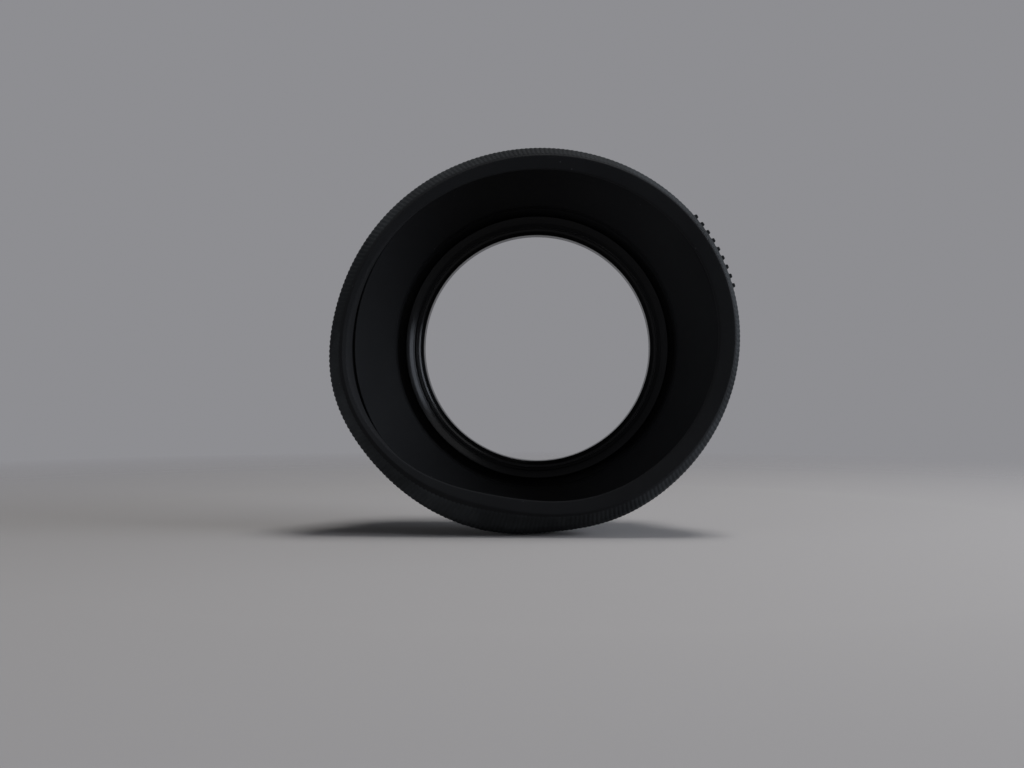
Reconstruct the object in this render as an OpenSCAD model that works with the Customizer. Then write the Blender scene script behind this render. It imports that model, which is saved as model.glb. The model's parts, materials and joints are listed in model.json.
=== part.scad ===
// Collapsible rubber lens hood on a double-threaded metal ring.
// The optical axis runs along Y: the front opening faces -Y and the lens thread leaves along +Y.
// The origin is the centre of the shoulder that seats against the lens. Lengths are millimetres.

/* [Lens thread] */
// Nominal diameter of the lens thread and of the filter thread in front of it
thread_d = 52; // [49:0.5:55]
// Thread pitch
pitch = 0.75; // [0.5:0.25:1]
// Turns of the rear thread
rear_turns = 4; // [3:1:5]
// Turns of the front filter thread
front_turns = 3; // [2:1:3]

/* [Rubber hood] */
// Distance from the lens shoulder to the front of the rim
hood_len = 26; // [22:0.5:32]
// Length of the rim and skirt in front of the fold
lip_len = 10.5; // [10:0.5:12]
// Mean outer radius of the front rim
rim_r = 39.2; // [39:0.1:42]
// Inner radius of the cone at the fold
fold_r = 36.8; // [35.5:0.1:37]
// Wall of the fold cone, measured across the axis
cone_wall = 1.6; // [1.2:0.1:2]
// Length of the neck that grips the metal ring
neck_len = 5; // [4.8:0.1:6]

/* [Set of the soft lip] */
// How much of its set the soft lip has taken: 0 is as moulded, 1 is as it stands
lip_set = 1; // [0:0.1:1]

/* [Index marks] */
// Number of raised marks on the skirt
mark_count = 9; // [3:1:15]
// Angle of the first mark above the horizontal
mark_start = 16; // [0:1:90]
// Angle between two marks
mark_step = 2.75; // [2:0.25:5]
// How far the marks stand out of the skirt
mark_relief = 0.9; // [0.4:0.1:1.2]

/* [Hidden] */

$fn = 128;
FACETS = 96;                        // divisions round the soft, oval pieces
METAL = [0.03, 0.03, 0.034];
RUBBER = [0.075, 0.078, 0.082];
MARK_RUBBER = [0.1, 0.103, 0.107];

// Metal ring. A height is the distance in front of the lens shoulder.
thread_r = thread_d / 2;
thread_depth = 8 / 15 * pitch;
thread_land = 0.16 * pitch;
thread_flank = thread_depth * tan(30);
bore_r = thread_r - 1.6;            // clear opening for the light
filter_r = thread_r - thread_depth; // crests of the filter thread
split_r = thread_r + 0.5;           // where the retaining ring screws into the mount ring
seat_r = thread_r + 1;              // journal that the rubber tongue turns on
bead_r = thread_r + 1.9;            // outside of the retaining ring's bead
flange_r = thread_r + 3;
flange_t = 1.4;
ledge_z = 1;                        // step between the bore and the filter thread
bore_bevel = 0.8;                   // bevel from the step into the bore
ring_back_z = 2.4;                  // back of the retaining ring, in front of the rubber tongue
mouth_z = ledge_z + front_turns * pitch + thread_land;
bead_slope = 0.85;                  // how far the bead slopes back towards the filter thread
bead_z = mouth_z + bead_slope + 0.28; // front of the bead
lead_in = 0.25;
clearance = 0.05;                   // running clearance of the rubber on the metal ring

// Rubber hood
groove_r = thread_r + 3.7;          // inside of the neck, round the bead
groove_z = 3.3;                     // floor of the groove between the bead and the neck
neck_r = thread_r + 4.8;
neck_bead_r = neck_r + 0.4;
fold_z = hood_len - lip_len;
crease = 1;                         // depth of the crease between the cone and the skirt
apex_r = rim_r - 2.4;               // foremost circle of the rim
band_r = apex_r - 2.3;              // inner edge of the rim's smooth, nearly flat face
lip_root_r = band_r + 0.9;          // inside of the lip where the rim meets the skirt
rim_z = hood_len - 4.5;             // where the skirt ends and the rim begins

// Set of the lip: each list is for the inner edge of the rim, its ridge, and its outside
set_r = [band_r, apex_r, rim_r];
set_right = [-0.6, 0.6, -0.15];     // shift to the right
set_up = [0.4, 0.6, 0.3];           // shift upwards
set_spread = [1.45, 1.2, 1.35];     // spread along the long axis, and draw-in across it
set_sunk = [2.4, 2.2, 1.3];         // depth of the dent where the lip rests
rest_angle = [256, 256, 275];
rest_width = [30, 30, 16];
set_swollen = [0.6, 0.8, 1.5];      // swelling of the side beside the dent
long_angle = 12;
swell_angle = 194;
swell_width = 20;

// Index marks
mark_w = 0.9;
mark_root = 0.4;                    // length that each mark is moulded into the skirt
mark_front = rim_z - 0.1;
mark_short = 2.6;
mark_long = 4.2;
mark_group = 4;                     // every fourth mark is a long one

// Turns the optical axis from +Z to -Y
module on_axis() {
    rotate([90, 0, 0]) children();
}

// One side of a thread, as alternate crests and roots that start on a crest
function thread_line(crest, root, z_from, turns, way) = concat(
    [for (turn = [0 : turns - 1], step = [0 : 3])
        let (z = z_from + way * turn * pitch)
        [[crest, root, root, crest][step],
         z + way * [thread_land, thread_land + thread_flank, pitch - thread_flank, pitch][step]]],
    [[crest, z_from + way * (turns * pitch + thread_land)]]);

function reversed(points) = [for (i = [len(points) - 1 : -1 : 0]) points[i]];

// Share of the lip's set at a height: none at the neck, all of it at the front
function set_share(z) = lip_set * pow(max(0, (z - neck_len) / (hood_len - neck_len)), 2);

// One of the set's sizes at any radius, on straight lines between the three circles
function set_size(sizes, r) = lookup(r, [for (i = [0 : 2]) [set_r[i], sizes[i]]]);

// A bell round the axis: 1 at the middle angle, and nearly nothing two widths away
function bell(angle, middle, width) =
    let (turned = angle - middle - 360 * round((angle - middle) / 360))
    exp(-pow(turned / width, 2));

// Radius that the set adds at a radius, a height and an angle
function set_add(r, z, angle) = set_share(z)
    * (set_size(set_spread, r) * cos(2 * (angle - long_angle))
       - set_size(set_sunk, r) * bell(angle, set_size(rest_angle, r), set_size(rest_width, r))
       + set_size(set_swollen, r) * bell(angle, swell_angle, swell_width));

function set_point(p, angle) =
    let (r = p[0] + set_add(p[0], p[1], angle), share = set_share(p[1]))
    [r * cos(angle) + share * set_size(set_right, p[0]),
     r * sin(angle) + share * set_size(set_up, p[0]), p[1]];

// A closed profile of [radius, height] carried round the axis, with the lip's set in it
module soft_ring(profile) {
    m = len(profile);
    points = [for (i = [0 : FACETS - 1], p = profile) set_point(p, i * 360 / FACETS)];
    faces = [for (i = [0 : FACETS - 1], j = [0 : m - 1], half = [0, 1])
        let (a = i * m + j, b = i * m + (j + 1) % m,
             c = ((i + 1) % FACETS) * m + (j + 1) % m, d = ((i + 1) % FACETS) * m + j)
        half == 0 ? [a, b, c] : [a, c, d]];
    polyhedron(points = points, faces = faces, convexity = 4);
}

// Rear ring: lens thread, shoulder flange, journal for the rubber, and the clear bore
module mount_ring() {
    rear_z = -(rear_turns * pitch + thread_land);
    profile = concat(
        [[bore_r, rear_z - lead_in], [thread_r - thread_depth, rear_z - lead_in]],
        reversed(thread_line(thread_r, thread_r - thread_depth, 0, rear_turns, -1)),
        [[thread_r, 0], [flange_r - 0.2, 0], [flange_r, 0.2], [flange_r, flange_t],
         [seat_r, flange_t], [seat_r, ring_back_z], [split_r, ring_back_z], [split_r, ledge_z],
         [bore_r + bore_bevel, ledge_z], [bore_r, ledge_z - bore_bevel]]);
    color(METAL) on_axis() rotate_extrude() polygon(profile);
}

// Front ring: screws into the mount ring and traps the rubber tongue behind its sloping bead
module retaining_ring() {
    nose = [[bead_r, bead_z - 0.4], [bead_r - 0.1, bead_z - 0.12], [bead_r - 0.35, bead_z],
        [bead_r - 0.6, bead_z - 0.08], [thread_r + 0.1, bead_z - bead_slope],
        [thread_r, bead_z - bead_slope - 0.15]];
    profile = concat(
        [[split_r, ledge_z], [split_r, ring_back_z], [bead_r, ring_back_z]],
        nose,
        reversed(thread_line(filter_r, thread_r, ledge_z, front_turns, 1)),
        [[filter_r, ledge_z]]);
    color(METAL) on_axis() rotate_extrude() polygon(profile);
}

// Neck of the rubber hood, with the tongue that the two rings hold
module rubber_collar() {
    back_z = 0.15;
    profile = [[flange_r + clearance, back_z], [neck_bead_r - 0.4, back_z],
        [neck_bead_r, 0.6], [neck_bead_r, 2.2], [neck_r, 2.7], [neck_r, neck_len],
        [groove_r, neck_len], [groove_r, groove_z], [bead_r + clearance, groove_z],
        [bead_r + clearance, ring_back_z - clearance],
        [seat_r + clearance, ring_back_z - clearance], [seat_r + clearance, flange_t + clearance],
        [flange_r + clearance, flange_t + clearance]];
    color(RUBBER) on_axis() rotate_extrude() polygon(profile);
}

// Thin cone that turns inside out when the lip is pushed back
module fold_cone() {
    knee_z = neck_len + 1.2;
    knee_r = groove_r + 0.5;
    profile = [[groove_r, neck_len], [neck_r, neck_len], [knee_r + cone_wall, knee_z],
        [fold_r + cone_wall - 0.5, fold_z - 0.9], [fold_r + cone_wall, fold_z],
        [fold_r, fold_z], [fold_r - 0.35, fold_z - 0.5], [knee_r, knee_z]];
    color(RUBBER) on_axis() soft_ring(profile);
}

// Skirt behind the rim. It overhangs the crease that it shares with the cone.
module lip_skirt() {
    profile = [[fold_r + crease, fold_z], [rim_r - 0.4, fold_z], [rim_r - 0.15, fold_z + 3],
        [rim_r, rim_z], [lip_root_r, rim_z], [lip_root_r + 1, fold_z + 4],
        [fold_r + crease - 0.1, fold_z + 1.2]];
    color(RUBBER) on_axis() soft_ring(profile);
}

// Front rim: a smooth face that slopes slightly inwards, and outside it the band of grip ribs
module front_rim() {
    profile = [[lip_root_r, rim_z], [rim_r, rim_z], [rim_r - 0.1, rim_z + 1.4],
        [rim_r - 0.7, rim_z + 2.9], [apex_r + 0.5, hood_len - 0.15], [apex_r, hood_len],
        [apex_r - 0.5, hood_len - 0.05], [band_r + 0.3, hood_len - 0.5],
        [band_r, hood_len - 0.8], [band_r + 0.1, hood_len - 1.6]];
    color(RUBBER) on_axis() soft_ring(profile);
}

// Plain graduated marks, moulded on the outside of the skirt
module index_marks() {
    color(MARK_RUBBER) on_axis()
        for (i = [0 : mark_count - 1]) {
            angle = mark_start + i * mark_step;
            mark_len = i % mark_group == 0 ? mark_long : mark_short;
            skirt = set_point([rim_r - 0.1, mark_front - mark_len / 2], angle);
            skirt_r = norm([skirt[0], skirt[1]]);
            rotate([0, 0, angle])
                translate([skirt_r - mark_root, -mark_w / 2, mark_front - mark_len])
                    cube([mark_root + mark_relief, mark_w, mark_len]);
        }
}

mount_ring();
retaining_ring();
rubber_collar();
fold_cone();
lip_skirt();
front_rim();
index_marks();
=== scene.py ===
"""Looks of a collapsible rubber lens hood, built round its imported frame.

The optical axis runs along Y and the mouth of the hood faces -Y. A place on the hood is given by
three numbers: its radius from the optical axis, its height in front of the shoulder that seats
against the lens, and its angle round the axis, zero at +X and a quarter turn at +Z. Lengths are
metres, as in the frame, unless a name ends in _mm.
"""

from __future__ import annotations

import json
import logging
import math
from dataclasses import dataclass, field
from enum import Enum

import bpy
import numpy as np
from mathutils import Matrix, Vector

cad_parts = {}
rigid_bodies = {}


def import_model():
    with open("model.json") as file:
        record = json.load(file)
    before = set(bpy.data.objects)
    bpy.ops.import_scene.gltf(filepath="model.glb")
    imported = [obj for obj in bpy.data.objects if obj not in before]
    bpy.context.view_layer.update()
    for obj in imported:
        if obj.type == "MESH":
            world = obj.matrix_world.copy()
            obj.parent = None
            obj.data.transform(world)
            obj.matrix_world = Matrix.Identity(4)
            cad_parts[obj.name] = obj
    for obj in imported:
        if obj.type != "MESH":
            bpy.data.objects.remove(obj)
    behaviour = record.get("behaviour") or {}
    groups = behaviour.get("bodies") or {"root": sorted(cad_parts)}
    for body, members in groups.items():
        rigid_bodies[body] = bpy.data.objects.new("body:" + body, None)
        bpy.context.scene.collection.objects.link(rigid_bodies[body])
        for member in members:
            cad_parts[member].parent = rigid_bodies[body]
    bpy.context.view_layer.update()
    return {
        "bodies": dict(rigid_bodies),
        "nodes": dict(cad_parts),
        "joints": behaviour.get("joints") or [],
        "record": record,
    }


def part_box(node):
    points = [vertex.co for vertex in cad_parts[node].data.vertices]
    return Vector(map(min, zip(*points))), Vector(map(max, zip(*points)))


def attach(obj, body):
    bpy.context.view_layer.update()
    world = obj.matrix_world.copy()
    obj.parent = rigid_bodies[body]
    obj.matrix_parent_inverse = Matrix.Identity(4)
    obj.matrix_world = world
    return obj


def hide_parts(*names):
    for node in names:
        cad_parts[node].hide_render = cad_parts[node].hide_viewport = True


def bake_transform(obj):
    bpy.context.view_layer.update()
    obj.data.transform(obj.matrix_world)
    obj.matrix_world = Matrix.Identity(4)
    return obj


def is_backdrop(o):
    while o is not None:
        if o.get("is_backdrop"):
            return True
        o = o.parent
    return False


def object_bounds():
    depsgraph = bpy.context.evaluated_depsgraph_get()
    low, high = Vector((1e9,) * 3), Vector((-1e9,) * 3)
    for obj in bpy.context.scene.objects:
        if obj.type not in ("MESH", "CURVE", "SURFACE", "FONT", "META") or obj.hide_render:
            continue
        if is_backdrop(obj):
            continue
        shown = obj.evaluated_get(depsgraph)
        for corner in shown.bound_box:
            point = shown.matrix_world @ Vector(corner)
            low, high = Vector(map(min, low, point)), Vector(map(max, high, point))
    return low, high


log = logging.getLogger("lens_hood")

MM = 0.001
TURN = 2 * math.pi

Colour = tuple[float, float, float]


# ---- Sizes read from the frame ----


def node_radii(node: bpy.types.Object) -> tuple[float, float]:
    """Smallest and largest distance of a CAD node's corners from the optical axis.

    Args:
        node: a CAD node of the frame.

    Returns:
        The two radii, in metres.
    """
    places = np.empty(len(node.data.vertices) * 3)
    node.data.vertices.foreach_get("co", places)
    places = places.reshape(-1, 3)
    radii = np.hypot(places[:, 0], places[:, 2])
    return float(radii.min()), float(radii.max())


@dataclass(frozen=True)
class HoodSizes:
    """Driving sizes of the hood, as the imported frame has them."""

    bore_r: float
    flange_r: float
    thread_r: float
    filter_r: float
    bead_r: float
    journal_r: float
    neck_bead_r: float
    thread_back: float
    ledge: float
    bead_front: float
    neck_back: float
    neck_front: float
    fold: float
    front: float

    @classmethod
    def from_frame(cls, frame: dict) -> HoodSizes:
        """Reads radii from the CAD nodes and the mounts, and heights from the nodes' boxes.


        Returns:
            The sizes, in metres.
        """
        nodes = frame["nodes"]
        mounts = {m["name"]: m for m in frame["record"]["mounts"]}
        bore_r, flange_r = node_radii(nodes["mount_ring"])
        filter_r, bead_r = node_radii(nodes["retaining_ring"])
        journal_r, neck_bead_r = node_radii(nodes["rubber_collar"])
        heights = {name: (-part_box(name)[1].y, -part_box(name)[0].y) for name in nodes}
        return cls(
            bore_r=bore_r,
            flange_r=flange_r,
            thread_r=mounts["lens_thread"]["dims"]["r_mm"] * MM,
            filter_r=filter_r,
            bead_r=bead_r,
            journal_r=journal_r,
            neck_bead_r=neck_bead_r,
            thread_back=heights["mount_ring"][0],
            ledge=heights["retaining_ring"][0],
            bead_front=heights["retaining_ring"][1],
            neck_back=heights["rubber_collar"][0],
            neck_front=heights["rubber_collar"][1],
            fold=heights["fold_cone"][1],
            front=heights["front_rim"][1],
        )


# ---- Outlines and surfaces ----


@dataclass(frozen=True)
class Corner:
    """A corner of an outline: its radius from the axis, its height, and how far it is rounded."""

    radius: float
    height: float
    rounding: float = 0.0

    def place(self) -> np.ndarray:
        """The corner as an array of radius and height."""
        return np.array([self.radius, self.height])


def corner_arc(before: Corner, corner: Corner, after: Corner, arc_step: float) -> np.ndarray:
    """Replaces a corner by an arc that touches both of its sides.

    The arc's centre lies on the line that halves the corner, at the rounding divided by the sine
    of half the corner's angle, and its points are equally spaced in angle.

    Args:
        before: the corner that comes before it.
        corner: the corner to round.
        after: the corner that comes after it.
        arc_step: the largest angle between two points of the arc, in radians.

    Returns:
        Points of radius and height, from the first side to the second.
    """
    tip = corner.place()
    side_a = before.place() - tip
    side_b = after.place() - tip
    side_a = side_a / np.linalg.norm(side_a)
    side_b = side_b / np.linalg.norm(side_b)
    half = math.acos(float(np.clip(side_a @ side_b, -1, 1))) / 2
    if corner.rounding <= 0 or math.pi / 2 - half < 1e-3:
        return tip[None, :]
    middle = (side_a + side_b) / np.linalg.norm(side_a + side_b)
    centre = tip + middle * corner.rounding / math.sin(half)
    start = tip + side_a * corner.rounding / math.tan(half) - centre
    end = tip + side_b * corner.rounding / math.tan(half) - centre
    sweep = math.atan2(start[0] * end[1] - start[1] * end[0], float(start @ end))
    count = max(2, math.ceil(abs(sweep) / arc_step) + 1)
    angle = math.atan2(start[1], start[0]) + np.linspace(0, sweep, count)
    return centre + corner.rounding * np.stack([np.cos(angle), np.sin(angle)], axis=1)


def rounded_path(corners: list[Corner], step: float, closed: bool = True,
                 arc_step: float = math.radians(18)) -> np.ndarray:
    """A line through rounded corners, with long straight stretches divided.

    Args:
        corners: the corners in order.
        step: the longest straight stretch that is left whole.
        closed: whether the last corner joins the first.
        arc_step: the largest angle between two points of an arc, in radians.

    Returns:
        Points of radius and height, with the first point not repeated at the end.
    """
    count = len(corners)
    arcs = []
    for i, corner in enumerate(corners):
        if not closed and i in (0, count - 1):
            arcs.append(corner.place()[None, :])
        else:
            arcs.append(corner_arc(corners[i - 1], corner, corners[(i + 1) % count], arc_step))
    line = np.concatenate(arcs + ([arcs[0][:1]] if closed else []))
    parts = []
    for start, end in zip(line[:-1], line[1:]):
        pieces = max(1, math.ceil(np.linalg.norm(end - start) / step))
        share = np.arange(pieces)[:, None] / pieces
        parts.append(start + share * (end - start))
    if not closed:
        parts.append(line[-1:])
    return np.concatenate(parts)


def on_axis(radius: np.ndarray, height: np.ndarray, angle: np.ndarray) -> np.ndarray:
    """Turns radius, height and angle into places: x = r cos(a), y = -h, z = r sin(a)."""
    return np.stack([radius * np.cos(angle), -height, radius * np.sin(angle)], axis=-1)


def grid_faces(rows: int, columns: int, rows_closed: bool = True) -> np.ndarray:
    """Four-cornered faces of a grid whose columns close on themselves.

    Args:
        rows: points along the first direction.
        columns: points along the second, closed direction.
        rows_closed: whether the last row joins the first.

    Returns:
        An array of four vertex numbers a face.
    """
    i = np.arange(rows if rows_closed else rows - 1)[:, None]
    j = np.arange(columns)[None, :]
    below = i * columns
    above = ((i + 1) % rows) * columns
    after = (j + 1) % columns
    return np.stack([below + j, below + after, above + after, above + j], axis=-1).reshape(-1, 4)


def enclosed_volume(places: np.ndarray, faces: np.ndarray) -> float:
    """Signed volume of a closed surface: the sum of its faces' triple products over six."""
    a, b, c, d = (places[faces[:, k]] for k in range(4))
    first = np.einsum("ij,ij->i", a, np.cross(b, c))
    second = np.einsum("ij,ij->i", a, np.cross(c, d))
    return float((first + second).sum() / 6)


def surface_object(name: str, places: np.ndarray, faces: np.ndarray,
                   material: bpy.types.Material) -> bpy.types.Object:
    """Makes a smooth-shaded object of a closed surface, with its faces pointing out.

    Args:
        name: the piece's name.
        places: vertex places in the frame, one row each.
        faces: four vertex numbers a face; a triangle repeats its last number.
        material: the finish.

    Returns:
        The new object, at the origin.
    """
    if enclosed_volume(places, faces) < 0:
        faces = faces[:, [1, 0, 3, 2]]
    three = faces[:, 2] == faces[:, 3]
    corner_counts = np.where(three, 3, 4)
    keep = np.ones(faces.shape, bool)
    keep[three, 3] = False
    mesh = bpy.data.meshes.new(name)
    mesh.vertices.add(len(places))
    mesh.vertices.foreach_set("co", places.astype(np.float32).ravel())
    mesh.loops.add(int(corner_counts.sum()))
    mesh.loops.foreach_set("vertex_index", faces[keep].astype(np.int32))
    mesh.polygons.add(len(faces))
    starts = np.concatenate([[0], np.cumsum(corner_counts)[:-1]])
    mesh.polygons.foreach_set("loop_start", starts.astype(np.int32))
    mesh.update(calc_edges=True)
    mesh.validate()
    mesh.shade_smooth()
    mesh.materials.append(material)
    piece = bpy.data.objects.new(name, mesh)
    bpy.context.scene.collection.objects.link(piece)
    return piece


def smooth(share: np.ndarray) -> np.ndarray:
    """Smooth step of a share from 0 to 1: 3 s squared less 2 s cubed."""
    share = np.clip(share, 0, 1)
    return share * share * (3 - 2 * share)


def bell(angle: np.ndarray, middle: float | np.ndarray, width: float | np.ndarray) -> np.ndarray:
    """A bell round the axis: e to the minus square of the angle from the middle over the width."""
    turned = (angle - middle + math.pi) % TURN - math.pi
    return np.exp(-(turned / width) ** 2)


# ---- Shader groups: each puts out masks and heights, and the materials use them ----


class Graph:
    """A node tree with short calls for adding and joining nodes."""

    def __init__(self, tree: bpy.types.NodeTree) -> None:
        """Keeps the tree that the calls work on."""
        self.tree = tree

    def add(self, kind: str, **settings: object) -> bpy.types.Node:
        """Adds a node of a type, with its properties by name."""
        node = self.tree.nodes.new(kind)
        for name, value in settings.items():
            setattr(node, name, value)
        return node

    def join(self, source: bpy.types.NodeSocket, *sinks: bpy.types.NodeSocket) -> None:
        """Joins an output to one or more inputs."""
        for sink in sinks:
            self.tree.links.new(source, sink)

    def math(self, operation: str, first: object, second: object = 0.0) -> bpy.types.NodeSocket:
        """The output of a Math node on two numbers, each of them an output socket or a value."""
        node = self.add("ShaderNodeMath", operation=operation)
        for socket, value in zip(node.inputs, (first, second)):
            if isinstance(value, bpy.types.NodeSocket):
                self.join(value, socket)
            else:
                socket.default_value = value
        return node.outputs[0]

    def remap(self, value: bpy.types.NodeSocket, source: tuple[float, float],
              target: tuple[float, float]) -> bpy.types.NodeSocket:
        """The output of a Map Range node that takes one range to another and is clamped."""
        node = self.add("ShaderNodeMapRange", clamp=True)
        self.join(value, node.inputs["Value"])
        for name, number in zip(("From Min", "From Max", "To Min", "To Max"), source + target):
            node.inputs[name].default_value = number
        return node.outputs["Result"]

    def noise(self, scale: float, detail: float = 3.0, roughness: float = 0.5,
              vector: bpy.types.NodeSocket | None = None) -> bpy.types.Node:
        """Adds a noise texture on Object coordinates, or on the vector given."""
        node = self.add("ShaderNodeTexNoise")
        node.inputs["Scale"].default_value = scale
        node.inputs["Detail"].default_value = detail
        node.inputs["Roughness"].default_value = roughness
        self.join(self.object_place() if vector is None else vector, node.inputs["Vector"])
        return node

    def object_place(self) -> bpy.types.NodeSocket:
        """The Object coordinates, which are places in the frame, in metres."""
        return self.add("ShaderNodeTexCoord").outputs["Object"]

    def place_parts(self) -> tuple[bpy.types.NodeSocket, bpy.types.NodeSocket]:
        """Distance from the optical axis, as the root of x squared plus z squared, and y."""
        split = self.add("ShaderNodeSeparateXYZ")
        self.join(self.object_place(), split.inputs["Vector"])
        across = self.math("MULTIPLY", split.outputs["X"], split.outputs["X"])
        upright = self.math("MULTIPLY", split.outputs["Z"], split.outputs["Z"])
        return self.math("SQRT", self.math("ADD", across, upright)), split.outputs["Y"]


def new_group(name: str, inputs: list[str], outputs: list[str]) -> tuple[Graph, dict, dict]:
    """Starts a shader group.

    Args:
        name: the group's name.
        inputs: the names of the numbers that go in.
        outputs: the names of the numbers that come out.

    Returns:
        Its graph, its inputs' sockets inside the group, and its outputs' sockets inside it.
    """
    tree = bpy.data.node_groups.new(name, "ShaderNodeTree")
    for way, names in (("INPUT", inputs), ("OUTPUT", outputs)):
        for item in names:
            tree.interface.new_socket(item, in_out=way, socket_type="NodeSocketFloat")
    graph = Graph(tree)
    given = {s.name: s for s in graph.add("NodeGroupInput").outputs if s.name}
    out = {s.name: s for s in graph.add("NodeGroupOutput").inputs if s.name}
    return graph, given, out


class SharedEffects:
    """The shader groups that more than one finish uses, each built once. Scales are per metre."""

    MOTTLE_SCALE = 140.0
    BLOOM_SCALE = 70.0
    BLOOM_RANGE = (0.42, 0.72)  # noise at which the bloom starts, and at which it is full
    LINT_SCALE = 420.0
    LINT_RADII = (0.02, 0.07)  # sharp and soft edge of a speck, as shares of its cell
    LINT_FREE = 0.86  # share of the cells that hold no speck

    def __init__(self) -> None:
        """Builds every group."""
        self.grain = self.build_grain()
        self.dust = self.build_dust()
        self.turning = self.build_turning()

    def build_grain(self) -> bpy.types.NodeTree:
        """Fine moulded or blasted grain: noise at the given scale, and coarser mottling."""
        graph, given, out = new_group("fine_grain", ["Scale"], ["Height", "Mottle"])
        fine = graph.noise(1.0, detail=2.0, roughness=0.6)
        graph.join(given["Scale"], fine.inputs["Scale"])
        coarse = graph.noise(self.MOTTLE_SCALE, detail=4.0, roughness=0.55)
        graph.join(fine.outputs["Fac"], out["Height"])
        graph.join(coarse.outputs["Fac"], out["Mottle"])
        return graph.tree

    def build_dust(self) -> bpy.types.NodeTree:
        """Dust and handling bloom: soft patches, and sparse specks of lint."""
        graph, given, out = new_group("dust", ["Amount", "Specks"], ["Bloom", "Speck"])
        patches = graph.noise(self.BLOOM_SCALE, detail=5.0, roughness=0.65)
        bloom = graph.remap(patches.outputs["Fac"], self.BLOOM_RANGE, (0.0, 1.0))
        graph.join(graph.math("MULTIPLY", bloom, given["Amount"]), out["Bloom"])
        cells = graph.add("ShaderNodeTexVoronoi", feature="F1")
        cells.inputs["Scale"].default_value = self.LINT_SCALE
        graph.join(graph.object_place(), cells.inputs["Vector"])
        dot = graph.remap(cells.outputs["Distance"], self.LINT_RADII, (1.0, 0.0))
        colour = graph.add("ShaderNodeSeparateColor")
        graph.join(cells.outputs["Color"], colour.inputs["Color"])
        chosen = graph.math("GREATER_THAN", colour.outputs["Red"], self.LINT_FREE)
        speck = graph.math("MULTIPLY", dot, chosen)
        graph.join(graph.math("MULTIPLY", speck, given["Specks"]), out["Speck"])
        return graph.tree

    def build_turning(self) -> bpy.types.NodeTree:
        """Concentric lines about the optical axis, as a lathe or a mould leaves them.

        The height is noise over the radius and the place along the axis, and doesn't vary round
        it, so that it reads as rings.
        """
        graph, given, out = new_group("turned_lines", ["Density"], ["Height"])
        radius, along = graph.place_parts()
        place = graph.add("ShaderNodeCombineXYZ")
        graph.join(graph.math("MULTIPLY", radius, given["Density"]), place.inputs["X"])
        graph.join(graph.math("MULTIPLY", along, given["Density"]), place.inputs["Y"])
        lines = graph.noise(1.0, detail=2.0, roughness=0.6, vector=place.outputs["Vector"])
        graph.join(lines.outputs["Fac"], out["Height"])
        return graph.tree


# ---- Finishes ----


def new_material(name: str) -> tuple[bpy.types.Material, Graph, bpy.types.Node]:
    """Starts a material, and returns it with its graph and its Principled shader."""
    material = bpy.data.materials.new(name)
    material.use_nodes = True
    graph = Graph(material.node_tree)
    return material, graph, material.node_tree.nodes["Principled BSDF"]


def place_group(graph: Graph, tree: bpy.types.NodeTree, **values: float) -> bpy.types.Node:
    """Places a shader group in a material's graph, with its inputs' values by name."""
    node = graph.add("ShaderNodeGroup", node_tree=tree)
    for name, value in values.items():
        node.inputs[name].default_value = value
    return node


def blend_colours(graph: Graph, mask: bpy.types.NodeSocket, first: object,
                  second: object) -> bpy.types.NodeSocket:
    """Mixes two colours by a mask.

    Args:
        graph: the material's graph.
        mask: 0 where the first colour shows, and 1 where the second does.
        first: a colour or an output socket.
        second: a colour or an output socket.

    Returns:
        The mixed colour.
    """
    node = graph.add("ShaderNodeMix", data_type="RGBA")
    graph.join(mask, node.inputs[0])
    for socket, value in ((node.inputs[6], first), (node.inputs[7], second)):
        if isinstance(value, bpy.types.NodeSocket):
            graph.join(value, socket)
        else:
            socket.default_value = (*value, 1.0)
    return node.outputs[2]


def bump(graph: Graph, height: bpy.types.NodeSocket, depth: float, strength: float,
         under: bpy.types.NodeSocket | None = None) -> bpy.types.NodeSocket:
    """Adds a Bump node of a real depth in metres, on top of another normal if there is one."""
    node = graph.add("ShaderNodeBump")
    node.inputs["Strength"].default_value = strength
    node.inputs["Distance"].default_value = depth
    graph.join(height, node.inputs["Height"])
    if under is not None:
        graph.join(under, node.inputs["Normal"])
    return node.outputs["Normal"]


@dataclass(frozen=True)
class RubberFinish:
    """Matt black moulded rubber with a faint bloom of dust."""

    name: str
    colour: Colour = (0.0094, 0.0096, 0.0103)
    bloom_colour: Colour = (0.0136, 0.0139, 0.0147)
    speck_colour: Colour = (0.08, 0.08, 0.084)
    bloom: float = 0.5
    specks: float = 0.5
    mottle: tuple[float, float] = (0.35, 0.65)
    roughness: tuple[float, float] = (0.56, 0.72)
    specular: float = 0.04
    grain_scale: float = 5200.0
    grain_depth: float = 0.02 * MM
    grain_strength: float = 0.7
    line_density: float = 1400.0
    line_depth: float = 0.006 * MM
    line_strength: float = 0.6

    def material(self, effects: SharedEffects) -> bpy.types.Material:
        """Builds the material out of the shared shader groups."""
        material, graph, shader = new_material(self.name)
        grain = place_group(graph, effects.grain, Scale=self.grain_scale)
        dust = place_group(graph, effects.dust, Amount=self.bloom, Specks=self.specks)
        lines = place_group(graph, effects.turning, Density=self.line_density)
        colour = blend_colours(graph, dust.outputs["Bloom"], self.colour, self.bloom_colour)
        colour = blend_colours(graph, dust.outputs["Speck"], colour, self.speck_colour)
        graph.join(colour, shader.inputs["Base Color"])
        graph.join(graph.remap(grain.outputs["Mottle"], self.mottle, self.roughness),
                   shader.inputs["Roughness"])
        shader.inputs["Specular IOR Level"].default_value = self.specular
        normal = bump(graph, lines.outputs["Height"], self.line_depth, self.line_strength)
        normal = bump(graph, grain.outputs["Height"], self.grain_depth, self.grain_strength,
                      under=normal)
        graph.join(normal, shader.inputs["Normal"])
        return material


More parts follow.
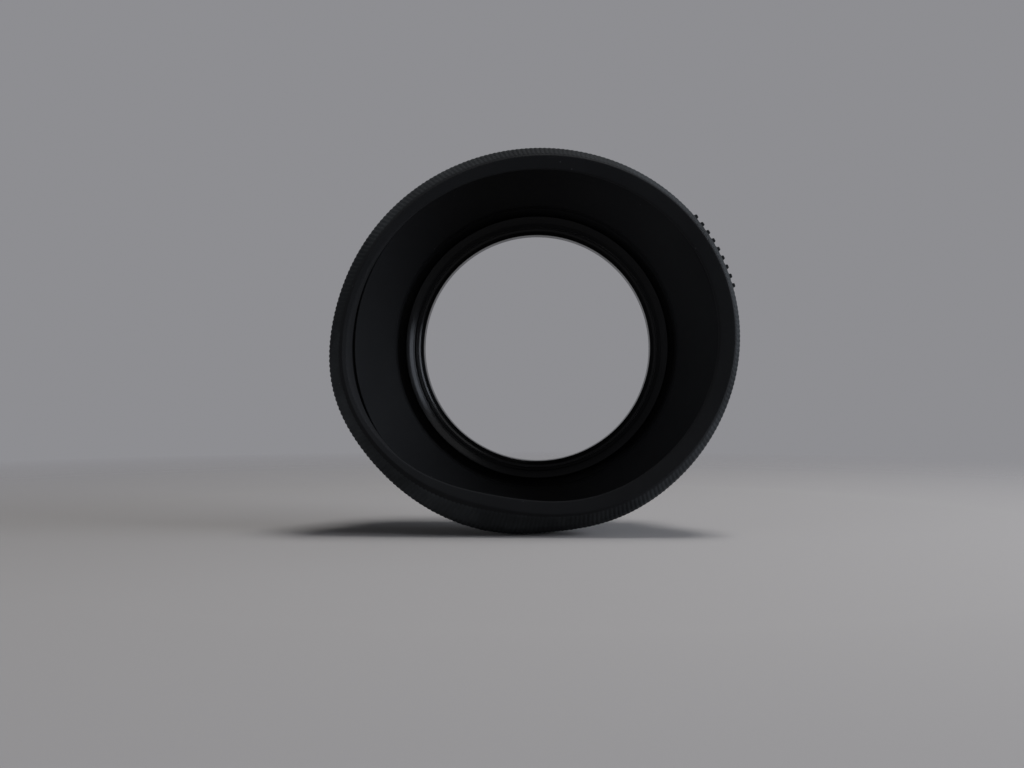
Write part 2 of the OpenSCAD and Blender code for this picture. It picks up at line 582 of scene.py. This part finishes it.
@dataclass(frozen=True)
class AnodisedFinish:
    """Black anodised, turned aluminium, duller on the cut threads."""

    name: str
    colour: Colour = (0.0080, 0.0081, 0.0086)
    worn_colour: Colour = (0.015, 0.0152, 0.0160)
    wear: float = 0.35
    mottle: tuple[float, float] = (0.3, 0.7)
    roughness: tuple[float, float] = (0.16, 0.24)
    metallic: float = 0.4
    specular: float = 0.17
    thread_specular: float = 0.02
    thread_radii: tuple[float, float] = (25.55 * MM, 26.15 * MM)
    line_density: float = 5200.0
    line_depth: float = 0.004 * MM
    line_strength: float = 0.5

    def material(self, effects: SharedEffects) -> bpy.types.Material:
        """Builds the material out of the shared shader groups."""
        material, graph, shader = new_material(self.name)
        grain = place_group(graph, effects.grain)
        dust = place_group(graph, effects.dust, Amount=self.wear)
        lines = place_group(graph, effects.turning, Density=self.line_density)
        colour = blend_colours(graph, dust.outputs["Bloom"], self.colour, self.worn_colour)
        graph.join(colour, shader.inputs["Base Color"])
        graph.join(graph.remap(grain.outputs["Mottle"], self.mottle, self.roughness),
                   shader.inputs["Roughness"])
        shader.inputs["Metallic"].default_value = self.metallic
        graph.join(self.sheen(graph), shader.inputs["Specular IOR Level"])
        normal = bump(graph, lines.outputs["Height"], self.line_depth, self.line_strength)
        graph.join(normal, shader.inputs["Normal"])
        return material

    def sheen(self, graph: Graph) -> bpy.types.NodeSocket:
        """The specular level: full on turned faces, and low between the radii of the threads."""
        radius, _ = graph.place_parts()
        inner, outer = self.thread_radii
        after_inner = graph.math("GREATER_THAN", radius, inner)
        before_outer = graph.math("LESS_THAN", radius, outer)
        threaded = graph.math("MULTIPLY", after_inner, before_outer)
        return graph.remap(threaded, (0.0, 1.0), (self.specular, self.thread_specular))


# ---- The metal ring ----


class ThreadSide(Enum):
    """Which side of the wall a thread is cut into."""

    OUTSIDE = -1
    INSIDE = 1


@dataclass(frozen=True)
class ScrewThread:
    """A right-handed 60 degree thread, with flat crests and roots and a run-out at each end."""

    side: ThreadSide
    start: float
    end: float
    pitch: float = 0.75 * MM
    depth: float = 0.4 * MM
    crest_share: float = 0.16
    flank_share: float = 0.3
    run_out: float = 0.2 * MM

    def cut(self, height: np.ndarray, angle: np.ndarray) -> np.ndarray:
        """How far the radius changes at a place.

        The phase is the height over the pitch less the angle over a turn. The groove's depth is
        zero on the crest, rises straight along one flank, is full at the root, and falls along
        the other flank.

        Args:
            height: heights of the grid's rows.
            angle: angles of its columns.

        Returns:
            What is added to the radius, in metres.
        """
        phase = (height / self.pitch - angle / TURN) % 1.0
        stops = [0, self.crest_share, self.crest_share + self.flank_share, 1 - self.flank_share, 1]
        groove = np.interp(phase, stops, [0, 0, 1, 1, 0])
        begun = smooth((height - self.start) / self.run_out)
        unfinished = smooth((self.end - height) / self.run_out)
        return self.side.value * self.depth * groove * begun * unfinished


@dataclass
class MetalRing:
    """The two black metal rings that carry the hood.

    The bevel between the ledge and the bore has a knee, and the bead falls from its flat top over
    a shoulder to a foot. A bevel, a knee or a shoulder is given as two numbers: how far it goes
    towards or away from the axis, and how far it goes back.
    """

    sizes: HoodSizes
    columns: int = 384
    row_step: float = 0.3 * MM
    thread_step: float = 0.05 * MM
    fine_round: float = 0.08 * MM
    clearance: float = 0.05 * MM
    flange_thickness: float = 1.4 * MM
    split_gap: float = 0.5 * MM
    ring_back: float = 2.4 * MM
    lead_in: float = 0.4 * MM
    bore_bevel: tuple[float, float] = (1.12 * MM, 0.95 * MM)
    bevel_knee: tuple[float, float] = (0.45 * MM, 0.31 * MM)
    bead_top: float = 0.2 * MM
    bead_shoulder: tuple[float, float] = (0.8 * MM, 0.35 * MM)
    shoulder_round: float = 2.0 * MM
    bead_slope: float = 0.85 * MM
    bead_foot: float = 0.4 * MM
    mouth_bevel: tuple[float, float] = (0.1 * MM, 0.25 * MM)
    thread_inset: float = 0.3 * MM

    def ring(self, name: str, corners: list[Corner], threads: list[ScrewThread],
             thread_r: float, material: bpy.types.Material) -> bpy.types.Object:
        """Turns an outline about the axis and cuts threads into its straight walls.

        Args:
            name: the piece's name.
            corners: the outline.
            threads: the threads, each between two heights.
            thread_r: radius of the wall that the threads are cut into.
            material: the finish.

        Returns:
            The piece.
        """
        outline = self.divided(rounded_path(corners, self.row_step), threads, thread_r)
        angle = np.linspace(0, TURN, self.columns, endpoint=False)[None, :]
        radius = np.repeat(outline[:, :1], self.columns, axis=1)
        height = outline[:, 1:]
        on_wall = np.abs(outline[:, :1] - thread_r) < self.fine_round / 2
        for thread in threads:
            within = on_wall & (height > thread.start) & (height < thread.end)
            radius = radius + within * thread.cut(height, angle)
        places = on_axis(radius, height + 0 * angle, angle + 0 * height)
        faces = grid_faces(len(outline), self.columns)
        return surface_object(name, places.reshape(-1, 3), faces, material)

    def divided(self, outline: np.ndarray, threads: list[ScrewThread],
                thread_r: float) -> np.ndarray:
        """Divides the stretches that carry a thread into short rows.

        Args:
            outline: points of radius and height.
            threads: the threads on it.
            thread_r: radius of the wall that the threads are cut into.

        Returns:
            The outline with more points along the threads.
        """
        following = np.roll(outline, -1, axis=0)
        parts = []
        for start, end in zip(outline, following):
            on_wall = max(abs(start[0] - thread_r), abs(end[0] - thread_r)) < self.fine_round / 2
            middle = (start[1] + end[1]) / 2
            threaded = on_wall and any(t.start < middle < t.end for t in threads)
            length = np.linalg.norm(end - start)
            pieces = max(1, math.ceil(length / self.thread_step)) if threaded else 1
            share = np.arange(pieces)[:, None] / pieces
            parts.append(start + share * (end - start))
        return np.concatenate(parts)

    def mount_ring(self, material: bpy.types.Material) -> bpy.types.Object:
        """The rear ring: lens thread, shoulder, journal for the rubber and clear bore."""
        s = self.sizes
        fine = self.fine_round
        split_r = s.thread_r + self.split_gap
        journal_r = s.journal_r - self.clearance
        bevel_r = s.bore_r + self.bore_bevel[0]
        corners = [
            Corner(s.bore_r, s.thread_back, fine),
            Corner(s.thread_r - self.lead_in, s.thread_back, fine),
            Corner(s.thread_r, s.thread_back + self.lead_in),
            Corner(s.thread_r, 0.0),
            Corner(s.flange_r, 0.0, 2 * fine),
            Corner(s.flange_r, self.flange_thickness, fine),
            Corner(journal_r, self.flange_thickness, fine),
            Corner(journal_r, self.ring_back),
            Corner(split_r, self.ring_back),
            Corner(split_r, s.ledge),
            Corner(bevel_r, s.ledge, fine / 2),
            Corner(bevel_r - self.bevel_knee[0], s.ledge - self.bevel_knee[1], 8 * fine),
            Corner(s.bore_r, s.ledge - self.bore_bevel[1], 4 * fine),
        ]
        thread = ScrewThread(ThreadSide.OUTSIDE, s.thread_back + self.lead_in, -self.clearance)
        piece = self.ring("threaded_mount_ring", corners, [thread], s.thread_r, material)
        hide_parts("mount_ring")
        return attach(piece, "mount")

    def retaining_ring(self, material: bpy.types.Material) -> bpy.types.Object:
        """The front ring: filter thread inside, rounded bead in front."""
        s = self.sizes
        fine = self.fine_round
        split_r = s.thread_r + self.split_gap
        shoulder_in, shoulder_back = self.bead_shoulder
        mouth_out, mouth_back = self.mouth_bevel
        slope_back = s.bead_front - self.bead_slope
        thread_top = slope_back - self.thread_inset
        corners = [
            Corner(split_r, s.ledge),
            Corner(split_r, self.ring_back),
            Corner(s.bead_r, self.ring_back, fine),
            Corner(s.bead_r, s.bead_front, 2 * fine),
            Corner(s.bead_r - self.bead_top, s.bead_front, 2 * fine),
            Corner(s.bead_r - shoulder_in, s.bead_front - shoulder_back, self.shoulder_round),
            Corner(s.thread_r + self.bead_foot, slope_back, fine),
            Corner(s.thread_r + mouth_out, slope_back - mouth_back, fine / 2),
            Corner(s.filter_r, thread_top),
            Corner(s.filter_r, s.ledge),
        ]
        thread = ScrewThread(ThreadSide.INSIDE, s.ledge, thread_top)
        piece = self.ring("beaded_retaining_ring", corners, [thread], s.filter_r, material)
        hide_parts("retaining_ring")
        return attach(piece, "mount")


# ---- The rubber moulding ----


@dataclass(frozen=True)
class SetStation:
    """How far one circle of the lip has moved, at the front of the hood, since it was moulded.

    The circle is named by its radius as moulded. It has shifted sideways and up, spread along the
    long axis as much as it has drawn in across it, sunk where the hood rests, and swollen beside.
    """

    radius: float
    right: float
    up: float
    spread: float
    sunk: float
    rest_angle: float
    rest_width: float
    swollen: float


@dataclass(frozen=True)
class LipSet:
    """The set that the soft lip has taken, growing from nothing at the neck."""

    neck: float
    front: float
    stations: tuple[SetStation, ...]
    power: float = 2.0
    long_axis: float = math.radians(12)
    swell_angle: float = math.radians(194)
    swell_width: float = math.radians(20)

    def share(self, height: np.ndarray) -> np.ndarray:
        """Share of the set at a height: none at the neck, all of it at the front."""
        return np.clip((height - self.neck) / (self.front - self.neck), 0, 1) ** self.power

    def amount(self, name: str, radius: np.ndarray) -> np.ndarray:
        """One of the stations' sizes at any radius, on straight lines between the stations."""
        known = [station.radius for station in self.stations]
        return np.interp(radius, known, [getattr(station, name) for station in self.stations])

    def shape(self, radius: np.ndarray, height: np.ndarray, angle: np.ndarray) -> np.ndarray:
        """Places of points of the moulding, with the set in them.

        The radius grows by the spread times the cosine of twice the angle from the long axis,
        less a bell-shaped dent where the lip rests, plus a bell-shaped swelling beside it. Then
        the point shifts sideways and up. All of it is times the share for the point's height.

        Args:
            radius: radii as moulded.
            height: heights.
            angle: angles round the axis.

        Returns:
            Places in the frame, with one more dimension than the arguments.
        """
        share = self.share(height)
        grown = self.amount("spread", radius) * np.cos(2 * (angle - self.long_axis))
        dent = bell(angle, self.amount("rest_angle", radius), self.amount("rest_width", radius))
        swelling = bell(angle, self.swell_angle, self.swell_width)
        grown = grown - self.amount("sunk", radius) * dent
        grown = grown + self.amount("swollen", radius) * swelling
        places = on_axis(radius + share * grown, height, angle)
        places[..., 0] += share * self.amount("right", radius)
        places[..., 2] += share * self.amount("up", radius)
        return places


@dataclass
class RubberMoulding:
    """The one-piece rubber hood: neck, folding cone, skirt, rim with grip ribs, and marks.

    Radii and widths are as moulded, before the lip's set. The tongue and the groove's floor are
    heights, and the backs, drops and ends of the skirt and the rim are depths behind the front.
    """

    sizes: HoodSizes
    clearance: float = 0.05 * MM
    tongue: tuple[float, float] = (1.45 * MM, 2.35 * MM)
    groove_floor: float = 3.3 * MM
    groove_gap: float = 1.8 * MM
    neck_wall: float = 1.1 * MM
    neck_bead: tuple[float, float] = (2.3 * MM, 2.7 * MM)
    cone_wall: float = 1.6 * MM
    fold_r: float = 36.7 * MM
    fold_lip: tuple[float, float] = (0.25 * MM, 0.3 * MM)
    crease: float = 1.15 * MM
    crease_length: float = 1.0 * MM
    root_step: float = 0.9 * MM
    root_back: float = 4.6 * MM
    band_width: float = 2.3 * MM
    band_drop: float = 0.4 * MM
    rim_r: float = 39.1 * MM
    chamfer_width: float = 2.4 * MM
    chamfer_knee: tuple[float, float] = (0.5 * MM, 1.9 * MM)
    chamfer_end: float = 4.2 * MM
    skirt_draw: float = 0.4 * MM
    columns: int = 480
    row_step: float = 0.55 * MM
    rib_count: int = 264
    rib_points: int = 6
    rib_step: float = 0.4 * MM
    rib_end: float = 5.6 * MM
    rib_height: float = 0.08 * MM
    rib_sharpness: float = 0.8
    rib_base: float = 0.03 * MM
    rib_fades: tuple[float, float] = (0.5 * MM, 0.8 * MM)
    rib_buried: float = 0.05 * MM
    rib_sink: float = 0.3 * MM
    mark_count: int = 9
    mark_start: float = math.radians(16)
    mark_step: float = math.radians(2.75)
    mark_end: float = 4.5 * MM
    mark_width: float = 0.9 * MM
    mark_relief: float = 0.95 * MM
    mark_lengths: tuple[float, float] = (4.2 * MM, 2.6 * MM)
    mark_group: int = 4
    mark_points: int = 32
    mark_squareness: float = 0.3
    apex_r: float = field(init=False)
    band_r: float = field(init=False)
    outer_side: list[Corner] = field(init=False)
    lip_set: LipSet = field(init=False)

    def __post_init__(self) -> None:
        """Works out the lip's set and the outer side of the rim, which the ribs lie on."""
        s = self.sizes
        self.apex_r = self.rim_r - self.chamfer_width
        self.band_r = self.apex_r - self.band_width
        self.lip_set = LipSet(s.neck_front, s.front, (
            SetStation(self.band_r, -0.6 * MM, 0.4 * MM, 1.55 * MM, 2.8 * MM,
                       math.radians(256), math.radians(30), 0.75 * MM),
            SetStation(self.apex_r, 0.6 * MM, 0.6 * MM, 1.2 * MM, 2.2 * MM,
                       math.radians(256), math.radians(30), 0.8 * MM),
            SetStation(self.rim_r, -0.2 * MM, 0.3 * MM, 1.35 * MM, 1.3 * MM,
                       math.radians(275), math.radians(16), 1.5 * MM),
        ))
        knee_in, knee_back = self.chamfer_knee
        self.outer_side = [
            Corner(self.apex_r, s.front, 0.3 * MM),
            Corner(self.rim_r - knee_in, s.front - knee_back, 1.2 * MM),
            Corner(self.rim_r, s.front - self.chamfer_end, 2.5 * MM),
            Corner(self.rim_r - self.skirt_draw, s.fold, 0.35 * MM),
        ]

    def outline(self) -> list[Corner]:
        """The moulding's section, from the tongue along the inside, over the rim, and back."""
        s = self.sizes
        fine = 0.1 * MM
        tongue_back, tongue_front = self.tongue
        groove_r = s.bead_r + self.groove_gap
        inside = [
            Corner(s.journal_r, tongue_back, fine),
            Corner(s.journal_r, tongue_front, fine),
            Corner(s.bead_r + self.clearance, tongue_front, fine),
            Corner(s.bead_r + self.clearance, self.groove_floor, fine),
            Corner(groove_r, self.groove_floor, 0.5 * MM),
            Corner(groove_r + 0.05 * MM, s.neck_front + 0.3 * MM, 1.5 * MM),
        ]
        crease_r = self.fold_r + self.crease
        lip_out, lip_back = self.fold_lip
        fold = [
            Corner(self.fold_r, s.fold, 0.2 * MM),
            Corner(self.fold_r + lip_out, s.fold - lip_back, 0.15 * MM),
            Corner(crease_r, s.fold - 0.1 * MM, 0.25 * MM),
            Corner(crease_r - 0.1 * MM, s.fold + self.crease_length, 0.5 * MM),
            Corner(self.band_r + self.root_step, s.front - self.root_back, 1.5 * MM),
            Corner(self.band_r, s.front - self.band_drop, 0.4 * MM),
        ]
        neck_r = groove_r + self.neck_wall
        bead_front, neck_start = self.neck_bead
        flange_r = s.flange_r + self.clearance
        outside = [
            Corner(self.fold_r + self.cone_wall, s.fold, 0.3 * MM),
            Corner(neck_r + 0.2 * MM, s.neck_front + 0.6 * MM, 1.2 * MM),
            Corner(neck_r, neck_start, 0.2 * MM),
            Corner(s.neck_bead_r, bead_front, 0.3 * MM),
            Corner(s.neck_bead_r, s.neck_back, 0.4 * MM),
            Corner(flange_r, s.neck_back, 2 * fine),
            Corner(flange_r, tongue_back),
        ]
        return inside + fold + self.outer_side + outside

    def body(self, material: bpy.types.Material) -> bpy.types.Object:
        """The moulding itself: its section carried round the axis, with the lip's set in it."""
        section = rounded_path(self.outline(), self.row_step)
        angle = np.linspace(0, TURN, self.columns, endpoint=False)[None, :]
        places = self.lip_set.shape(section[:, :1] + 0 * angle, section[:, 1:] + 0 * angle,
                                    angle + 0 * section[:, :1])
        faces = grid_faces(len(section), self.columns)
        piece = surface_object("rubber_moulding", places.reshape(-1, 3), faces, material)
        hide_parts("rubber_collar", "fold_cone", "lip_skirt", "front_rim")
        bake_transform(piece)
        return piece

    def ribs(self, material: bpy.types.Material) -> bpy.types.Object:
        """The grip ribs, on the outer chamfer of the rim and a little way down its side.

        Their top is the rim's own surface, raised along its normal by the rib height times
        a rounded wave, one turn of which is one rib. The raise fades out at both ends, and the
        underside lies inside the rim.
        """
        path = rounded_path(self.outer_side, self.rib_step, closed=False,
                            arc_step=math.radians(25))
        path = path[path[:, 1] > self.sizes.front - self.rib_end][1:]
        along = np.gradient(path, axis=0)
        normal = np.stack([-along[:, 1], along[:, 0]], axis=1)
        normal /= np.linalg.norm(normal, axis=1)[:, None]
        run = np.concatenate([[0], np.cumsum(np.linalg.norm(np.diff(path, axis=0), axis=1))])
        front_fade, back_fade = self.rib_fades
        fade = (smooth(run / front_fade) * smooth((run[-1] - run) / back_fade))[:, None]
        columns = self.rib_count * self.rib_points
        angle = np.linspace(0, TURN, columns, endpoint=False)[None, :]
        wave = (0.5 + 0.5 * np.cos(angle * self.rib_count)) ** self.rib_sharpness
        raised = fade * (self.rib_base + self.rib_height * wave) - self.rib_buried * (1 - fade)
        under = path[::-1] - normal[::-1] * self.rib_sink
        radius, height = (
            np.concatenate([path[:, k:k + 1] + normal[:, k:k + 1] * raised,
                            under[:, k:k + 1] + 0 * angle])
            for k in range(2))
        places = self.lip_set.shape(radius, height, angle + 0 * radius)
        faces = grid_faces(len(radius), columns)
        piece = surface_object("grip_ribs", places.reshape(-1, 3), faces, material)
        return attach(piece, "lip")

    def marks(self, material: bpy.types.Material) -> bpy.types.Object:
        """Plain graduated marks, raised on the outside of the skirt.

        Each is a stack of outlines, where a point's two coordinates are half the width and half
        the length times the cosine and sine of its turn, both to the power of the squareness. The
        stack starts in the skirt, rises straight, rounds over, and closes on a middle point.
        """
        outer = rounded_path(self.outer_side, self.row_step, closed=False)[::-1]
        points = self.mark_points
        turn = np.linspace(0, TURN, points, endpoint=False)
        across, along = (np.sign(wave) * np.abs(wave) ** self.mark_squareness
                         for wave in (np.cos(turn), np.sin(turn)))
        rise = self.mark_relief
        # How far each outline has grown, and how far it stands out of the skirt
        levels = [(0.0, -0.3 * MM), (0.12 * MM, -0.3 * MM), (0.06 * MM, 0.1 * MM),
                  (0.0, 0.7 * rise), (-0.05 * MM, 0.9 * rise), (-0.12 * MM, 0.98 * rise),
                  (-0.2 * MM, rise)]
        count = len(levels) * points
        j = np.arange(points)
        after = (j + 1) % points
        top = count - points
        bottom_fan = np.stack([after, j, 0 * j + count, 0 * j + count], axis=1)
        top_fan = np.stack([top + j, top + after, 0 * j + count + 1, 0 * j + count + 1], axis=1)
        one_mark = np.concatenate(
            [grid_faces(len(levels), points, rows_closed=False), bottom_fan, top_fan])
        places, faces = [], []
        for i in range(self.mark_count):
            length = self.mark_lengths[0 if i % self.mark_group == 0 else 1]
            middle = self.sizes.front - self.mark_end - length / 2
            rings = []
            for grow, lift in levels:
                height = middle + (length / 2 + grow) * along
                radius = np.interp(height, outer[:, 1], outer[:, 0]) + lift
                reach = (self.mark_width / 2 + grow) * across / self.rim_r
                angle = self.mark_start + i * self.mark_step + reach
                rings.append(self.lip_set.shape(radius, height, angle))
            places += [*rings, rings[0].mean(axis=0)[None], rings[-1].mean(axis=0)[None]]
            faces.append(one_mark + i * (count + 2))
        piece = surface_object("moulded_marks", np.concatenate(places), np.concatenate(faces),
                               material)
        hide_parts("index_marks")
        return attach(piece, "lip")


# ---- Floor, light and camera ----


@dataclass(frozen=True)
class Lamp:
    """A soft, square studio lamp that faces the hood, and whether gloss mirrors it."""

    name: str
    place: tuple[float, float, float]
    side: float
    power: float
    colour: Colour = (1.0, 1.0, 1.0)
    mirrored: bool = True


@dataclass
class Studio:
    """A plain floor that fades into a plain background, with soft lamps and the camera.

    The floor starts to fade at one distance from the origin, and is gone at another.
    """

    floor_height: float
    background: Colour = (0.270, 0.270, 0.286)
    ambient: Colour = (0.020, 0.0205, 0.022)
    floor_colour: Colour = (0.302, 0.289, 0.284)
    floor_roughness: float = 0.9
    floor_specular: float = 0.1
    floor_fade: tuple[float, float] = (0.12, 0.34)
    floor_radius: float = 2.0
    floor_points: int = 96
    camera_place: tuple[float, float, float] = (0.00128, -0.246, -0.01097)
    camera_turn: tuple[float, float, float] = (math.radians(90.735), 0.0, math.radians(1.543))
    focal_length_mm: float = 40.0
    sensor_width_mm: float = 36.0
    lamps: tuple[Lamp, ...] = (
        Lamp("side_lamp", (0.61, -0.153, 0.13), 0.38, 4.4, (0.90, 0.97, 1.08)),
        Lamp("rear_lamp", (0.59, 0.16, 0.22), 0.40, 0.9, (0.90, 0.97, 1.07)),
        Lamp("top_lamp", (0.13, -0.045, 0.635), 0.20, 3.2),
        Lamp("upper_lamp", (0.40, -0.30, 0.42), 0.30, 0.35),
        Lamp("fill_lamp", (-0.56, -0.28, -0.05), 0.40, 2.2, (0.93, 0.97, 1.03),
             mirrored=False),
    )

    def build(self) -> None:
        """Makes the floor, the world, the lamps and the camera."""
        self.floor()
        self.world()
        for lamp in self.lamps:
            self.lamp(lamp)
        self.camera()

    def floor(self) -> bpy.types.Object:
        """A round floor under the rim, whose edge fades into the background."""
        count, radius = self.floor_points, self.floor_radius
        angle = np.linspace(0, TURN, count, endpoint=False)
        places = [(0.0, 0.0, self.floor_height)]
        places += [(radius * math.cos(a), radius * math.sin(a), self.floor_height) for a in angle]
        faces = [(0, 1 + j, 1 + (j + 1) % count) for j in range(count)]
        mesh = bpy.data.meshes.new("floor")
        mesh.from_pydata(places, [], faces)
        material, graph, shader = new_material("floor_paper")
        shader.inputs["Base Color"].default_value = (*self.floor_colour, 1.0)
        shader.inputs["Roughness"].default_value = self.floor_roughness
        shader.inputs["Specular IOR Level"].default_value = self.floor_specular
        length = graph.add("ShaderNodeVectorMath", operation="LENGTH")
        graph.join(graph.object_place(), length.inputs[0])
        far = graph.remap(length.outputs["Value"], self.floor_fade, (0.0, 1.0))
        clear = graph.add("ShaderNodeBsdfTransparent")
        mix = graph.add("ShaderNodeMixShader")
        graph.join(far, mix.inputs["Fac"])
        graph.join(shader.outputs["BSDF"], mix.inputs[1])
        graph.join(clear.outputs["BSDF"], mix.inputs[2])
        output = material.node_tree.nodes["Material Output"]
        graph.join(mix.outputs["Shader"], output.inputs["Surface"])
        mesh.materials.append(material)
        floor = bpy.data.objects.new("floor", mesh)
        bpy.context.scene.collection.objects.link(floor)
        floor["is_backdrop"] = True
        return floor

    def world(self) -> None:
        """An even pale surround, which the camera, metal and glass see as the background."""
        world = bpy.data.worlds.new("studio")
        world.use_nodes = True
        graph = Graph(world.node_tree)
        shader = world.node_tree.nodes["Background"]
        path = graph.add("ShaderNodeLightPath")
        camera, gloss, glass = (path.outputs[f"Is {kind} Ray"]
                                for kind in ("Camera", "Glossy", "Transmission"))
        seen = graph.math("MAXIMUM", graph.math("MAXIMUM", camera, gloss), glass)
        colour = blend_colours(graph, seen, self.ambient, self.background)
        graph.join(colour, shader.inputs["Color"])
        bpy.context.scene.world = world
        bpy.context.scene.view_settings.view_transform = "Standard"

    def lamp(self, lamp: Lamp) -> bpy.types.Object:
        """Makes one lamp, turned to face the origin."""
        data = bpy.data.lights.new(lamp.name, "AREA")
        data.shape = "SQUARE"
        data.size = lamp.side
        data.energy = lamp.power
        data.color = lamp.colour
        thing = bpy.data.objects.new(lamp.name, data)
        thing.location = lamp.place
        thing.visible_glossy = lamp.mirrored
        thing.rotation_euler = (-thing.location).to_track_quat("-Z", "Y").to_euler()
        bpy.context.scene.collection.objects.link(thing)
        return thing

    def camera(self) -> bpy.types.Object:
        """The camera: nearly square on to the mouth, a little low, turned up and to the left."""
        data = bpy.data.cameras.new("camera")
        data.sensor_width = self.sensor_width_mm
        data.lens = self.focal_length_mm
        data.clip_start = 0.01
        thing = bpy.data.objects.new("camera", data)
        thing.location = self.camera_place
        thing.rotation_euler = self.camera_turn
        bpy.context.scene.collection.objects.link(thing)
        bpy.context.scene.camera = thing
        return thing


def main() -> None:
    """Builds the hood's pieces in order, then the studio."""
    logging.basicConfig(level=logging.INFO, format="%(name)s: %(message)s")
    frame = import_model()
    sizes = HoodSizes.from_frame(frame)
    effects = SharedEffects()
    body_rubber = RubberFinish("body_rubber").material(effects)
    rim_rubber = RubberFinish("rim_rubber", colour=(0.0125, 0.0132, 0.0140),
                              bloom_colour=(0.031, 0.033, 0.035), bloom=0.8).material(effects)
    mark_rubber = RubberFinish("mark_rubber", colour=(0.0090, 0.0094, 0.0104),
                               bloom=0.3).material(effects)
    ring_metal = AnodisedFinish("ring_metal").material(effects)
    bead_metal = AnodisedFinish("bead_metal", roughness=(0.18, 0.24),
                                specular=0.10).material(effects)

    rings = MetalRing(sizes)
    rubber = RubberMoulding(sizes)
    pieces = [
        rings.mount_ring(ring_metal),
        rings.retaining_ring(bead_metal),
        rubber.body(body_rubber),
        rubber.ribs(rim_rubber),
        rubber.marks(mark_rubber),
    ]
    for piece in pieces:
        log.info("%s: %d faces", piece.name, len(piece.data.polygons))

    Studio(floor_height=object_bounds()[0].z).build()


if __name__ == "__main__":
    main()
